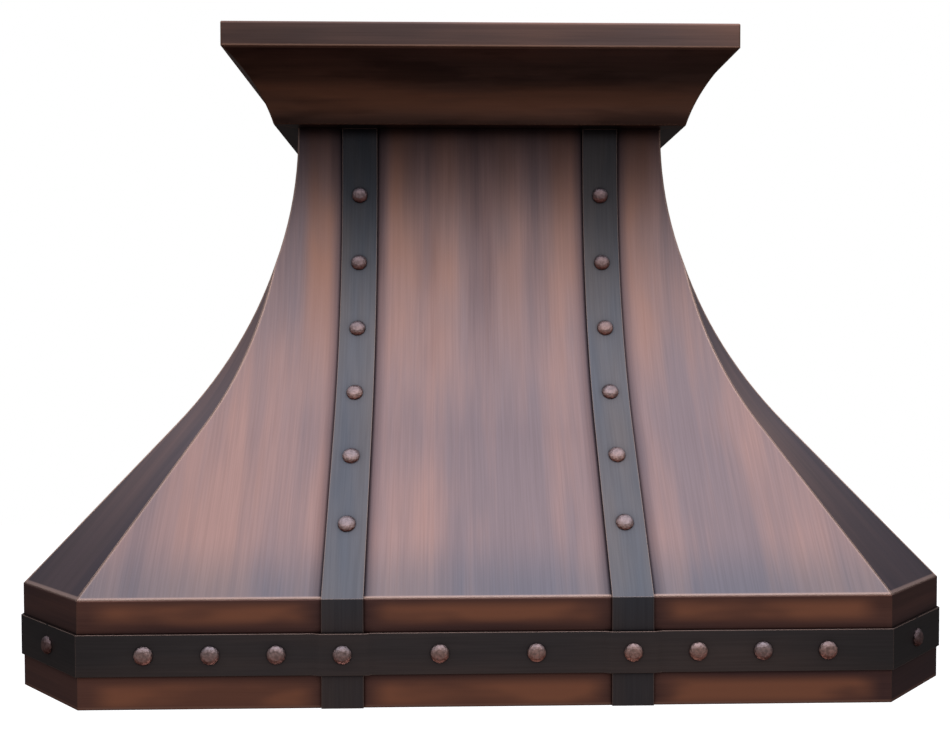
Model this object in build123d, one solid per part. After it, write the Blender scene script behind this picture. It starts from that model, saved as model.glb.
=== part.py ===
from build123d import *
import os
from collections import namedtuple
from math import atan2, cos, degrees, hypot, pi, radians, sin, sqrt, tan

# Island range hood: a bell of copper sheet hung from the ceiling, with iron-dark straps and
# hand-hammered rivets, around a blower, a duct and a liner with baffle filters.
#
# Sizes are millimetres. While the pieces are made, heights are measured up from the hood's
# bottom edge. save() lowers every piece by hood_height, so that the finished model has its
# origin at the centre of the ceiling plane, with +Z up. The front faces -Y.

# ---- driving dimensions ----
hood_height = 903.0
base_width = 1219.2
base_depth = 863.6
corner_cut = 105.0            # leg of the 45 degree cut at each corner of the base
apron_height = 135.0
neck_width = 543.6
neck_depth = 260.0
plate_thick = 4.0             # ceiling plate, over the neck
neck_top = hood_height - plate_thick
sheet = 1.6                   # copper sheet
hem_width = 14.0

side_slope = 48.9             # degrees from level, just above the apron
front_slope = 51.0
corner_slope = 45.1
wall_curve = 660.0            # radius of the front, back and side curves
corner_curve = 572.0
corner_waist = 297.0          # where the corner curve would turn upright

crown_bottom = 771.0
crown_foot = 31.6             # how far the crown stands out at its bottom edge
crown_cove_reach = 93.5
crown_reach = 95.0
crown_fascia = 35.0
crown_return = 30.0           # flange turned in at the ceiling
cove_curve = 205.0
crown_edge_round = 3.0

strap_width = 52.0
strap_thick = 3.0
front_strap_x = 179.8
base_strap_middle = 67.5
joggle_gap = 1.0              # side room where the base strap steps over an upright strap
joggle_ramp = 8.0

rivet_radius = 12.0
rivet_sides = 9
rivet_tiers = ((3.0, 14), (2.4, 42), (1.2, 64))     # height and slope of each ring of facets
rivet_seat = 0.12             # lifts a flat head clear of a hollow curve
shank_radius = 3.4
shank_clearance = 0.1
upright_rivet_pitch = 104.0
upright_rivet_count = 6

angle_thick = 3.0             # steel angle of the inner frame
post_leg = 30.0
post_tab = 40.0
rail_low = 65.0
rail_height = 30.0
lower_frame_low = 62.0
lower_frame_ledge = 40.0
ceiling_hole_x = 210.0
ceiling_hole_y = 85.0
ceiling_hole_radius = 5.5
bolt_radius = 4.0
bolt_clearance = 0.3
bolt_hex = 7.5                # corner radius of a bolt's head and its nut
bolt_head = 5.0
nut_thick = 6.0
nut_clearance = 0.1

collar_radius = 101.6
collar_low = 790.0
collar_stub = 25.0            # stands above the ceiling plane, for the duct to slide over
duct_room = 6.0               # gap round the collar in the ceiling plate
collar_flange = 22.0
tin = 1.0                     # wall of the duct parts
damper_height = 820.0
damper_radius = 99.6
damper_pin_radius = 2.5
damper_drop = 3.5             # the flaps hang this far below the pin's axis
damper_gap = 0.3              # from a flap's straight edge to the hood's middle
knuckle_length = 16.0
knuckle_wall = 0.7
right_knuckles = (42.0, -58.0)       # where the knuckles start along Y
left_knuckles = (20.0, -36.0)
collar_flange_thick = 3.0
pipe_radius = 99.6
pipe_low = 560.0
pipe_high = 806.0

scroll_y = 107.5              # impeller axis
scroll_height = 270.0
scroll_width = 130.0
scroll_wall = 1.5
scroll_outlet = 200.0         # outlet flange above the impeller axis
scroll_radii = (130.0, 150.0, 170.0)
scroll_step = 10.0            # half the growth from one quarter of the scroll to the next
tongue_y = -35.0
inlet_radius = 92.0
wheel_radius = 108.0
wheel_width = 104.0
wheel_sheet = 1.5
wheel_ring_width = 4.0
blade_count = 36
blade_tilt = 35.0
blade_depth = 17.0
blade_sheet = 1.0
hub_radius = 22.0
hub_length = 26.0
axle_reach = 60.0             # into the motor, from the scroll's closed side
motor_radius = 62.0
motor_length = 100.0
motor_flange = 14.0           # past the motor's radius
motor_cap_length = 12.0
motor_cap_step = 18.0         # the end cap is this much smaller than the motor
rib_count = 8
rib_pitch = 9.0
rib_width = 3.0
rib_height = 3.0
axle_radius = 6.0
running_gap = 0.05

liner_inset = 18.0
liner_sheet = 1.2
deck_top = 62.0
skirt_low = 2.0
filter_count = 4
filter_pitch = 282.0
filter_width = 270.0
filter_depth = 480.0
filter_low = 42.0
filter_high = 63.8
filter_gap = 2.0
filter_rim = 12.0
filter_sheet = 1.0
filter_pin_radius = 2.0       # two pins at the back corners, which the filter hangs from
filter_pin_y = 236.0
filter_pin_height = 57.0
filter_ear = 1.5
baffle_pitch = 32.0
baffle_width = 20.0
baffle_height = 9.0

light_x = 380.0
strip_y = 328.0               # middle of the liner's front and back strips
can_radius = 34.0
can_height = 48.0
bezel_radius = 44.0
lens_radius = 31.5
panel_half_x = 120.0
panel_half_y = 35.0
panel_thick = 2.0
module_half_x = 95.0
module_half_y = 23.0
module_height = 30.0
knob_x = 60.0
knob_radius = 18.0
knob_height = 18.0
knob_shaft_radius = 3.0
knob_gap = 0.5                # between a knob and the panel
flute_count = 16

junction_half_x = 60.0
junction_half_y = 32.0
junction_height = 48.0
junction_sheet = 1.5
cover_sheet = 1.2
cover_lip = 8.0
cable_entry_radius = 10.0
liner_screw_radius = 1.75
liner_screw_hole = 1.9
liner_screw_head = 4.5
liner_screw_grip = 6.0        # how far a screw goes up into the lower frame

far = 800.0                   # longer than anything it cuts

half_width = base_width / 2
half_depth = base_depth / 2
half_neck_x = neck_width / 2
half_neck_y = neck_depth / 2
right, back, left, front = 0, 90, 180, -90      # the way each wall faces, degrees about Z

Wall = namedtuple("Wall", "foot waist slope curve")
side_wall = Wall(half_width, half_neck_x, side_slope, wall_curve)
front_wall = Wall(half_depth, half_neck_y, front_slope, wall_curve)
corner_wall = Wall((half_width + half_depth - corner_cut) / sqrt(2), corner_waist,
                   corner_slope, corner_curve)


# ---- shared shapes ----

def save(name, shape):
    """Write one node, lowered so that the ceiling plane is z = 0."""
    export_step(Pos(0, 0, -hood_height) * shape, f"parts/{name}.step")


def turned(angle, shape):
    """A shape made facing +X, turned about the hood's axis."""
    return Rot(0, 0, angle) * shape


def block(x_range, y_range, z_range):
    """A box between two values on each axis."""
    size = [pair[1] - pair[0] for pair in (x_range, y_range, z_range)]
    middle = [(pair[0] + pair[1]) / 2 for pair in (x_range, y_range, z_range)]
    return Pos(*middle) * Box(*size)


def rod(x, y, low, high, radius):
    """An upright round bar."""
    return Pos(x, y, (low + high) / 2) * Cylinder(radius, high - low)


def tube(x, y, low, high, outer, inner):
    """An upright tube."""
    return rod(x, y, low, high, outer) - rod(x, y, low - 1, high + 1, inner)


def octagon(shift, low, high):
    """The plan of the base, moved outward by shift, as a solid between two heights."""
    x = half_width + shift
    y = half_depth + shift
    cut = corner_cut + shift * (2 - sqrt(2))
    corner = [(x, y - cut), (x - cut, y), (cut - x, y), (-x, y - cut)]
    plan = corner + [(-px, -py) for px, py in corner]
    return Pos(0, 0, low) * extrude(make_face(Polyline(plan, close=True)), amount=high - low)


def fused(shapes):
    """All the shapes joined into one."""
    shapes = list(shapes)
    return shapes[0].fuse(*shapes[1:]) if len(shapes) > 1 else shapes[0]


def group(shapes):
    """Separate solids that share one node."""
    solids = []
    for shape in shapes:
        solids.extend(shape.solids())
    return Compound(children=solids)


# ---- the bell ----

def bell_curve(wall, shift=0.0):
    """The crease above the apron and the start, middle and end of the curve, moved out."""
    turn = radians(90 - wall.slope)
    start_x = wall.waist + wall.curve * (1 - cos(turn))
    start_z = apron_height + (wall.foot - start_x) * tan(radians(wall.slope))
    centre = (wall.waist + wall.curve, start_z + wall.curve * sin(turn))
    grown = wall.curve - shift

    def on_curve(angle):
        return (centre[0] - grown * cos(angle), centre[1] - grown * sin(angle))

    crease = (wall.foot + shift, apron_height + shift * tan(turn / 2))
    return crease, on_curve(turn), on_curve(turn / 2), on_curve(0)


def bell_block(wall, angle, shift=0.0, low=0.0, high=neck_top):
    """Everything between a wall and the wall facing the other way."""
    crease, start, middle, end = bell_curve(wall, shift)
    bottom = (crease[0], low)
    top = (end[0], high)
    half = [Line(bottom, crease), Line(crease, start), ThreePointArc(start, middle, end),
            Line(end, top)]
    half_mirrored = [mirror(edge, Plane.YZ) for edge in half]
    ends = [Line((-bottom[0], low), bottom), Line((-top[0], high), top)]
    section = make_face(half + half_mirrored + ends)
    return turned(angle, extrude(Plane.XZ * section, amount=far, both=True))


def outward(angle, low, high):
    """The half space on the side that a wall faces, between two heights."""
    return turned(angle, block((0, far), (-far, far), (low, high)))


def bell_place(wall, distance, shift=0.0):
    """Where a wall's surface is at a distance up from the crease: x, height and tilt."""
    crease, start, _, _ = bell_curve(wall)
    straight = hypot(start[0] - crease[0], start[1] - crease[1])
    turn = radians(90 - wall.slope)
    if distance <= straight:
        tilt = turn
        x = crease[0] - distance * sin(turn)
        z = crease[1] + distance * cos(turn)
    else:
        tilt = turn - (distance - straight) / wall.curve
        x = wall.waist + wall.curve * (1 - cos(tilt))
        z = start[1] + wall.curve * (sin(turn) - sin(tilt))
    return x + shift * cos(tilt), z + shift * sin(tilt), degrees(tilt)


def make_bell():
    """The eight wall panels, the apron band and nothing else."""
    panel_low = apron_height
    inner_low = -1.0
    inner_high = neck_top + 1
    side = bell_block(side_wall, right)
    side_inner = bell_block(side_wall, right, -sheet, inner_low, inner_high)
    ends = bell_block(front_wall, front)
    ends_inner = bell_block(front_wall, front, -sheet, inner_low, inner_high)
    diagonals = {a: bell_block(corner_wall, a) for a in (45, 135)}
    body = side & ends & diagonals[45] & diagonals[135]
    above = block((-far, far), (-far, far), (panel_low, neck_top))
    body = body & above
    panels = {
        "front_panel": (body - ends_inner) & outward(front, panel_low, neck_top),
        "back_panel": (body - ends_inner) & outward(back, panel_low, neck_top),
        "right_panel": ((body & ends_inner) - side_inner) & outward(right, panel_low, neck_top),
        "left_panel": ((body & ends_inner) - side_inner) & outward(left, panel_low, neck_top),
    }
    inside = body & ends_inner & side_inner
    for name, angle in (("front_right", -45), ("back_right", 45),
                        ("back_left", 135), ("front_left", -135)):
        axis = angle % 180
        diagonal_inner = bell_block(corner_wall, axis, -sheet, inner_low, inner_high)
        corner = (inside - diagonal_inner) & outward(angle, panel_low, neck_top)
        panels[f"corner_panel_{name}"] = corner.solids().sort_by(SortBy.VOLUME)[-1]
    apron = octagon(0, 0, apron_height) - octagon(-sheet, -1, apron_height + 1)
    hem = octagon(-sheet, 0, sheet) - octagon(-hem_width, -1, sheet + 1)
    panels["apron_band"] = apron + hem
    return panels


# ---- crown moulding ----

def crown_section(waist):
    """The bent sheet of the crown, cut across, for a wall of the neck at x = waist."""
    fascia_low = hood_height - crown_fascia
    foot = (crown_foot, crown_bottom)
    head = (crown_cove_reach, fascia_low)
    chord = hypot(head[0] - foot[0], head[1] - foot[1])
    along = ((head[0] - foot[0]) / chord, (head[1] - foot[1]) / chord)
    sag = sqrt(cove_curve ** 2 - (chord / 2) ** 2)
    centre_x = (foot[0] + head[0]) / 2 + along[1] * sag
    centre_z = (foot[1] + head[1]) / 2 - along[0] * sag

    def cove(radius, low, high):
        angles = [pi - atan2(z - centre_z, sqrt(radius ** 2 - (z - centre_z) ** 2))
                  for z in (low, high)]
        middle = sum(angles) / 2
        points = [(centre_x + radius * cos(a), centre_z + radius * sin(a))
                  for a in (angles[0], middle, angles[1])]
        return points

    outer = cove(cove_curve, crown_bottom, fascia_low)
    inner = cove(cove_curve + sheet, crown_bottom + sheet, fascia_low + sheet)
    lip_x = crown_reach - crown_return
    face_x = crown_reach - sheet
    rounded_top = hood_height - crown_edge_round
    outline = [
        Line((0, crown_bottom), outer[0]),
        ThreePointArc(*outer),
        Line(outer[2], (crown_reach, fascia_low)),
        Line((crown_reach, fascia_low), (crown_reach, rounded_top)),
        RadiusArc((crown_reach, rounded_top), (crown_reach - crown_edge_round, hood_height),
                  -crown_edge_round),
        Line((crown_reach - crown_edge_round, hood_height), (lip_x, hood_height)),
        Line((lip_x, hood_height), (lip_x, hood_height - sheet)),
        Line((lip_x, hood_height - sheet), (face_x, hood_height - sheet)),
        Line((face_x, hood_height - sheet), (face_x, fascia_low + sheet)),
        Line((face_x, fascia_low + sheet), inner[2]),
        ThreePointArc(*reversed(inner)),
        Line(inner[0], (0, crown_bottom + sheet)),
        Line((0, crown_bottom + sheet), (0, crown_bottom)),
    ]
    return Pos(waist, 0, 0) * Plane.XZ * make_face(outline)


def crown_length(angle, waist, half_run):
    """One mitred length of the crown."""
    run = extrude(crown_section(waist), amount=far, both=True)
    spread = crown_reach + 10
    nip = 10
    wedge = [(waist + spread, half_run + spread), (waist - nip, half_run - nip),
             (waist - nip, nip - half_run), (waist + spread, -half_run - spread)]
    mitre = extrude(make_face(Polyline(wedge, close=True)), amount=hood_height + 1)
    return turned(angle, run & mitre)


def make_crown():
    return {
        "crown_front": crown_length(front, half_neck_y, half_neck_x),
        "crown_back": crown_length(back, half_neck_y, half_neck_x),
        "crown_left": crown_length(left, half_neck_x, half_neck_y),
        "crown_right": crown_length(right, half_neck_x, half_neck_y),
    }


# ---- rivets ----

def rivet(turn):
    """A hammered rivet with its head standing up from z = 0 and its shank below."""
    top_face = RegularPolygon(rivet_radius, rivet_sides, rotation=turn)
    rings = []
    for height, slope in rivet_tiers:
        rings.append(extrude(top_face, amount=height, taper=slope))
        top_face = rings[-1].faces().sort_by(Axis.Z)[-1]
    return fused(rings)


def rivet_place(angle, x, lateral, height, tilt):
    """A location on a wall: x outward, lateral along it, leaning back by tilt degrees."""
    return Rot(0, 0, angle) * Pos(x, lateral, height) * Rot(0, 90 - tilt, 0)


def upright_rivet_places(wall, angle, lateral):
    """The places up one upright strap."""
    places = []
    for number in range(1, upright_rivet_count + 1):
        x, z, tilt = bell_place(wall, number * upright_rivet_pitch, strap_thick + rivet_seat)
        places.append((rivet_place(angle, x, lateral, z, tilt), 1))
    return places


def base_rivet_places(wall, angle, laterals, crossings):
    """The places along one length of the base strap."""
    places = []
    for lateral in laterals:
        layers = 2 if lateral in crossings else 1
        x = wall.foot + layers * strap_thick
        places.append((rivet_place(angle, x, lateral, base_strap_middle, 0), layers))
    return places


def all_rivet_places():
    """Every rivet: its location and how many straps it goes through."""
    front_end = half_width - corner_cut
    side_end = half_depth - corner_cut
    outer_step = (front_end - front_strap_x) / 4
    inner_step = front_strap_x * 2 / 3
    front_positive = [front_strap_x + outer_step * k for k in (1, 2, 3)]
    front_positive += [front_strap_x, inner_step / 2]
    front_laterals = front_positive + [-v for v in front_positive]
    side_positive = [side_end / 4 * k for k in (1, 2, 3)]
    side_laterals = [0] + side_positive + [-v for v in side_positive]
    places = []
    for angle in (front, back):
        for lateral in (-front_strap_x, front_strap_x):
            places += upright_rivet_places(front_wall, angle, lateral)
        crossings = (-front_strap_x, front_strap_x)
        places += base_rivet_places(front_wall, angle, front_laterals, crossings)
    for angle in (right, left):
        places += upright_rivet_places(side_wall, angle, 0)
        places += base_rivet_places(side_wall, angle, side_laterals, (0,))
    corner_turn = degrees(atan2(half_depth - corner_cut / 2, half_width - corner_cut / 2))
    corner_far = hypot(half_depth - corner_cut / 2, half_width - corner_cut / 2)
    lean = radians(45 - corner_turn)
    for angle, side in ((45, -1), (-45, 1), (135, 1), (-135, -1)):
        x = corner_far * cos(lean) + strap_thick
        lateral = side * corner_far * sin(lean)
        places.append((rivet_place(angle, x, lateral, base_strap_middle, 0), 1))
    return places


def make_rivets(places):
    """The rivets, each with its own turn, and the holes that they need."""
    rivets = []
    holes = []
    for number, (place, layers) in enumerate(places):
        depth = layers * strap_thick + sheet
        shank = Pos(0, 0, -depth / 2) * Cylinder(shank_radius, depth)
        rivets.append(place * (rivet(number * 17 % 40) + shank))
        holes.append(place * Pos(0, 0, -depth / 2)
                     * Cylinder(shank_radius + shank_clearance, depth + 2))
    return group(rivets), holes


def pierced(shape, holes):
    """The shape with the holes that reach it cut out."""
    box = shape.bounding_box()
    near = [hole for hole in holes if box.overlaps(hole.bounding_box())]
    return shape - near if near else shape


# ---- straps ----

def upright_strap(wall, angle, lateral):
    """A strap that follows the wall from the bottom edge up to the crown."""
    skin = bell_block(wall, right, strap_thick, 0, crown_bottom)
    skin = skin - bell_block(wall, right, 0, -1, crown_bottom + 1)
    edges = (lateral - strap_width / 2, lateral + strap_width / 2)
    return turned(angle, skin & block((0, far), edges, (-1, far)))


def beside_path(points, distance):
    """The path moved to its right by a distance, with mitred corners."""
    moved = []
    for number, point in enumerate(points):
        headings = []
        if number > 0:
            before = points[number - 1]
            headings.append(atan2(point[1] - before[1], point[0] - before[0]))
        if number < len(points) - 1:
            after = points[number + 1]
            headings.append(atan2(after[1] - point[1], after[0] - point[0]))
        middle = sum(headings) / len(headings)
        reach = distance / cos(headings[0] - middle)
        moved.append((point[0] + reach * sin(middle), point[1] - reach * cos(middle)))
    return moved


def base_strap(wall, angle, run, crossings):
    """One length of the base strap, from the middle of one corner cut to the next."""
    half_cut = corner_cut / 2
    path = [(wall.foot - half_cut, -run - half_cut), (wall.foot, -run)]
    for crossing in crossings:
        near = strap_width / 2 + joggle_gap
        path += [(wall.foot, crossing - near - joggle_ramp),
                 (wall.foot + strap_thick, crossing - near),
                 (wall.foot + strap_thick, crossing + near),
                 (wall.foot, crossing + near + joggle_ramp)]
    path += [(wall.foot, run), (wall.foot - half_cut, run + half_cut)]
    outline = path + beside_path(path, strap_thick)[::-1]
    plan = make_face(Polyline(outline, close=True))
    low = base_strap_middle - strap_width / 2
    return turned(angle, Pos(0, 0, low) * extrude(plan, amount=strap_width))


def make_straps():
    front_run = half_width - corner_cut
    side_run = half_depth - corner_cut
    crossings = (-front_strap_x, front_strap_x)
    return {
        "strap_front_left": upright_strap(front_wall, front, -front_strap_x),
        "strap_front_right": upright_strap(front_wall, front, front_strap_x),
        "strap_back_left": upright_strap(front_wall, back, front_strap_x),
        "strap_back_right": upright_strap(front_wall, back, -front_strap_x),
        "strap_left": upright_strap(side_wall, left, 0),
        "strap_right": upright_strap(side_wall, right, 0),
        "base_strap_front": base_strap(front_wall, front, front_run, crossings),
        "base_strap_back": base_strap(front_wall, back, front_run, crossings),
        "base_strap_left": base_strap(side_wall, left, side_run, (0,)),
        "base_strap_right": base_strap(side_wall, right, side_run, (0,)),
    }


# ---- inner frame ----

def bolt(shank, nut_at):
    """A hexagon bolt along +Z from its head's bearing face at z = 0, with its nut."""
    head = Pos(0, 0, -bolt_head) * extrude(RegularPolygon(bolt_hex, 6), amount=bolt_head)
    pieces = [head + Pos(0, 0, shank / 2) * Cylinder(bolt_radius, shank)]
    if nut_at:
        nut = extrude(RegularPolygon(bolt_hex, 6), amount=nut_thick)
        nut -= Pos(0, 0, nut_thick / 2) * Cylinder(bolt_radius + nut_clearance, nut_thick + 2)
        pieces.append(Pos(0, 0, nut_at) * nut)
    return pieces


def post_corner():
    """Outer corner of the hanger posts, against the inside of the neck."""
    return half_neck_x - sheet, half_neck_y - sheet


def post_bolt_heights():
    return [rail_low + rail_height / 3, rail_low + rail_height * 2 / 3]


def hanger_post(x_side, y_side):
    """An angle from the ceiling plate down to a bearer rail, with a tab under the plate."""
    x, y = post_corner()
    rail_top = rail_low + rail_height
    wide = block((x - post_leg, x), (y - angle_thick, y), (rail_low, neck_top))
    deep = block((x - angle_thick, x), (y - post_leg, y), (rail_top, neck_top))
    tab = block((x - post_tab, x), (y - post_tab, y), (neck_top - angle_thick, neck_top))
    hole = bolt_radius + bolt_clearance
    post = wide + deep + tab
    post -= rod(x - post_tab / 2, y - post_tab / 2, neck_top - 10, neck_top + 1, hole)
    for z in post_bolt_heights():
        post -= Pos(x - post_leg / 2, y, z) * Rot(90, 0, 0) * Cylinder(hole, 20)
    if x_side < 0:
        post = mirror(post, Plane.YZ)
    if y_side < 0:
        post = mirror(post, Plane.XZ)
    return post


def bearer_rail(y_side):
    """An angle across the hood that carries the posts, the blower and the lower frame."""
    x, y = post_corner()
    outer = y - angle_thick
    reach = half_width - sheet - angle_thick - 1
    rail_top = rail_low + rail_height
    upright = block((-reach, reach), (outer - angle_thick, outer), (rail_low, rail_top))
    flat = block((-reach, reach), (outer - post_leg, outer), (rail_top - angle_thick, rail_top))
    rail = upright + flat
    hole = bolt_radius + bolt_clearance
    for bolt_x in (post_leg / 2 - x, x - post_leg / 2):
        for z in post_bolt_heights():
            rail -= Pos(bolt_x, outer, z) * Rot(90, 0, 0) * Cylinder(hole, 20)
    return rail if y_side > 0 else mirror(rail, Plane.XZ)


def ceiling_plate():
    """The plate that is bolted to the ceiling, around the duct."""
    x, y = post_corner()
    plate = block((-x, x), (-y, y), (neck_top, hood_height))
    plate -= rod(0, 0, neck_top - 1, hood_height + 1, collar_radius + duct_room)
    for x_side in (-1, 1):
        for y_side in (-1, 1):
            plate -= rod(x_side * ceiling_hole_x, y_side * ceiling_hole_y, neck_top - 1,
                         hood_height + 1, ceiling_hole_radius)
            plate -= rod(x_side * (x - post_tab / 2), y_side * (y - post_tab / 2), neck_top - 1,
                         hood_height + 1, bolt_radius + bolt_clearance)
    return plate


def lower_frame():
    """The eight-sided angle ring inside the apron, with a ledge over the liner's edge."""
    top = lower_frame_low + rail_height
    ring = octagon(-sheet, lower_frame_low, top)
    ring -= octagon(-sheet - angle_thick, lower_frame_low + angle_thick, top + 1)
    return ring - octagon(-sheet - lower_frame_ledge, lower_frame_low - 1, top)


def frame_bolts():
    """Bolts at the posts' tabs and feet."""
    x, y = post_corner()
    shank = angle_thick * 2 + 10
    pieces = []
    for x_side in (-1, 1):
        for y_side in (-1, 1):
            at_tab = Pos(x_side * (x - post_tab / 2), y_side * (y - post_tab / 2),
                         neck_top - angle_thick)
            pieces += [at_tab * piece for piece in bolt(angle_thick + plate_thick, None)]
            for z in post_bolt_heights():
                at_foot = (Pos(x_side * (x - post_leg / 2), y_side * y, z)
                           * Rot(90 * y_side, 0, 0))
                pieces += [at_foot * piece for piece in bolt(shank, angle_thick * 2)]
    return group(pieces)


def make_frame():
    pieces = {
        "ceiling_plate": ceiling_plate(),
        "lower_frame": lower_frame(),
        "bearer_rail_front": bearer_rail(-1),
        "bearer_rail_back": bearer_rail(1),
        "frame_bolts": frame_bolts(),
    }
    for x_name, x_side in (("left", -1), ("right", 1)):
        for y_name, y_side in (("front", -1), ("back", 1)):
            pieces[f"hanger_post_{y_name}_{x_name}"] = hanger_post(x_side, y_side)
    return pieces


# ---- duct and damper ----

def duct_collar():
    """The spigot through the ceiling plate, with its flange and the flaps' stops."""
    top = hood_height + collar_stub
    inner = collar_radius - tin
    collar = tube(0, 0, collar_low, top, collar_radius, inner)
    collar += tube(0, 0, neck_top - collar_flange_thick, neck_top,
                   collar_radius + collar_flange, collar_radius - tin / 2)
    collar -= Pos(0, 0, damper_height) * Rot(90, 0, 0) * Cylinder(damper_pin_radius + 0.02, 2 * far)
    stop_top = damper_height - damper_drop - tin - 0.3
    for side in (-1, 1):
        stop = block(sorted((side * (inner - 5), side * (inner + 0.5))), (-6, 6),
                     (stop_top - 2, stop_top))
        collar += stop
    return collar


def damper_pin():
    """The pin across the collar that both flaps hang on."""
    reach = collar_radius + 3
    return Pos(0, 0, damper_height) * Rot(90, 0, 0) * Cylinder(damper_pin_radius, 2 * reach)


def damper_flap(side):
    """Half a disc below the pin, with two knuckles around it."""
    plate_top = damper_height - damper_drop
    half = block((damper_gap, far), (-far, far), (plate_top - tin, plate_top))
    flap = half & rod(0, 0, plate_top - tin, plate_top, damper_radius)
    for start in right_knuckles if side > 0 else left_knuckles:
        span = (start, start + knuckle_length)
        middle = (span[0] + span[1]) / 2
        barrel = Rot(90, 0, 0) * Cylinder(damper_pin_radius + knuckle_wall, knuckle_length)
        flap += Pos(0, middle, damper_height) * barrel
        flap += block((damper_gap, 2.2), span, (plate_top - tin, damper_height - 1.6))
        bore = Rot(90, 0, 0) * Cylinder(damper_pin_radius + running_gap, knuckle_length + 2)
        flap -= Pos(0, middle, damper_height) * bore
    return flap if side > 0 else mirror(flap, Plane.YZ)


def outlet_adaptor():
    """The sheet-metal change from the blower's oblong outlet to the round duct."""
    low = scroll_height + scroll_outlet
    outlet_back = scroll_y + tongue_y
    outlet_front = scroll_y - scroll_step - scroll_radii[2]
    outlet_depth = outlet_back - outlet_front

    def loft_between(wall):
        oblong = Rectangle(scroll_width - 2 * wall, outlet_depth - 2 * wall)
        bottom = Pos(0, (outlet_back + outlet_front) / 2, low) * oblong
        return loft([bottom, Pos(0, 0, pipe_low) * Circle(pipe_radius - wall)])

    return loft_between(0) - loft_between(scroll_wall)


def make_duct():
    return {
        "duct_collar": duct_collar(),
        "damper_pin": damper_pin(),
        "damper_flap_left": damper_flap(-1),
        "damper_flap_right": damper_flap(1),
        "duct_pipe": tube(0, 0, pipe_low, pipe_high, pipe_radius, pipe_radius - tin),
        "outlet_adaptor": outlet_adaptor(),
    }


# ---- blower ----

def scroll_plan(wall):
    """The outline of the scroll around the impeller's axis, moved inward by wall."""
    quarter = [radius - wall for radius in scroll_radii]
    step = scroll_step
    tongue = tongue_y - wall
    top = scroll_outlet + (1 if wall else 0)
    tongue_z = -step + sqrt(quarter[0] ** 2 - (tongue - step) ** 2)
    first_angle = degrees(atan2(tongue_z + step, tongue - step))
    outer_y = -step - quarter[2]
    outline = [
        CenterArc((step, -step), quarter[0], 0, first_angle),
        CenterArc((-step, -step), quarter[1], 270, 90),
        CenterArc((-step, step), quarter[2], 180, 90),
        Line((outer_y, step), (outer_y, top)),
        Line((outer_y, top), (tongue, top)),
        Line((tongue, top), (tongue, tongue_z)),
    ]
    plane = Plane(origin=(0, scroll_y, scroll_height), x_dir=(0, 1, 0), z_dir=(1, 0, 0))
    return plane * make_face(outline)


def across(radius, x_low, x_high):
    """A round bar along X on the impeller's axis."""
    place = Pos((x_low + x_high) / 2, scroll_y, scroll_height) * Rot(0, 90, 0)
    return place * Cylinder(radius, x_high - x_low)


def blower_scroll():
    """The casing, open at the outlet, the inlet and around the axle."""
    half = scroll_width / 2
    casing = extrude(scroll_plan(0), amount=half, both=True)
    casing -= extrude(scroll_plan(scroll_wall), amount=half - scroll_wall, both=True)
    casing -= across(inlet_radius, half - 5, half + 1)
    return casing - across(axle_radius + 6, -half - 1, 5 - half)


def inlet_ring():
    """The flared ring that leads air into the wheel."""
    face = scroll_width / 2
    outline = [(inlet_radius - 1.5, -6), (inlet_radius - 0.3, -6), (inlet_radius - 0.3, 0),
               (inlet_radius + 16, 0), (inlet_radius + 16, 2), (inlet_radius + 9, 2),
               (inlet_radius + 9, 9), (inlet_radius + 4, 9)]
    section = make_face(Polyline(outline, close=True))
    ring = revolve(Plane.XZ * section, Axis.Z)
    return Pos(face, scroll_y, scroll_height) * Rot(0, 90, 0) * ring


def impeller():
    """The forward-curved wheel with its back plate, front ring, blades, hub and axle."""
    back_x = -wheel_width / 2
    front_x = wheel_width / 2
    plate = across(wheel_radius, back_x, back_x + wheel_sheet)
    hub = across(hub_radius, back_x, back_x + hub_length)
    axle = across(axle_radius, -scroll_width / 2 - axle_reach, back_x + hub_length + 4)
    ring = across(wheel_radius, front_x - wheel_ring_width, front_x)
    ring -= across(wheel_radius - blade_depth * 0.82, front_x - wheel_ring_width - 1, front_x + 1)
    blade = Box(wheel_width - 2, blade_depth, blade_sheet)
    blades = []
    for number in range(blade_count):
        spin = Rot(360 / blade_count * number, 0, 0)
        middle = wheel_radius - blade_depth * 0.46
        blades.append(Pos(0, scroll_y, scroll_height) * spin * Pos(0, middle, 0)
                      * Rot(blade_tilt, 0, 0) * blade)
    return fused([plate, hub, axle, ring] + blades)


def motor():
    """The motor on the closed side of the scroll, with cooling ribs and a flange."""
    face = -scroll_width / 2
    end = face - motor_length
    body = across(motor_radius, end, face)
    body += across(motor_radius + motor_flange, face - 3, face)
    body += across(motor_radius - motor_cap_step, end - motor_cap_length, end)
    for number in range(rib_count):
        x = face - rib_pitch * (number + 2)
        body += across(motor_radius + rib_height, x - rib_width, x)
    return body - across(axle_radius + running_gap, face - axle_reach - 4, face + 1)


def blower_bracket(x_side):
    """A bent plate that holds one side of the scroll on the bearer rails."""
    _, y = post_corner()
    inner = scroll_width / 2
    low = rail_low + rail_height
    reach = y - angle_thick
    upright = block((inner, inner + 2), (-reach, reach), (low, low + 52))
    foot = block((inner, inner + 26), (-reach, reach), (low, low + 2))
    bracket = upright + foot
    return bracket if x_side > 0 else mirror(bracket, Plane.YZ)


def make_blower():
    return {
        "blower_scroll": blower_scroll(),
        "inlet_ring": inlet_ring(),
        "impeller": impeller(),
        "motor": motor(),
        "blower_bracket_left": blower_bracket(-1),
        "blower_bracket_right": blower_bracket(1),
    }


# ---- liner, filters, lights and controls ----

def filter_middles():
    return [filter_pitch * (number - (filter_count - 1) / 2) for number in range(filter_count)]


def light_places():
    return [(x, y) for x in (-light_x, light_x) for y in (-strip_y, strip_y)]


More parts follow.
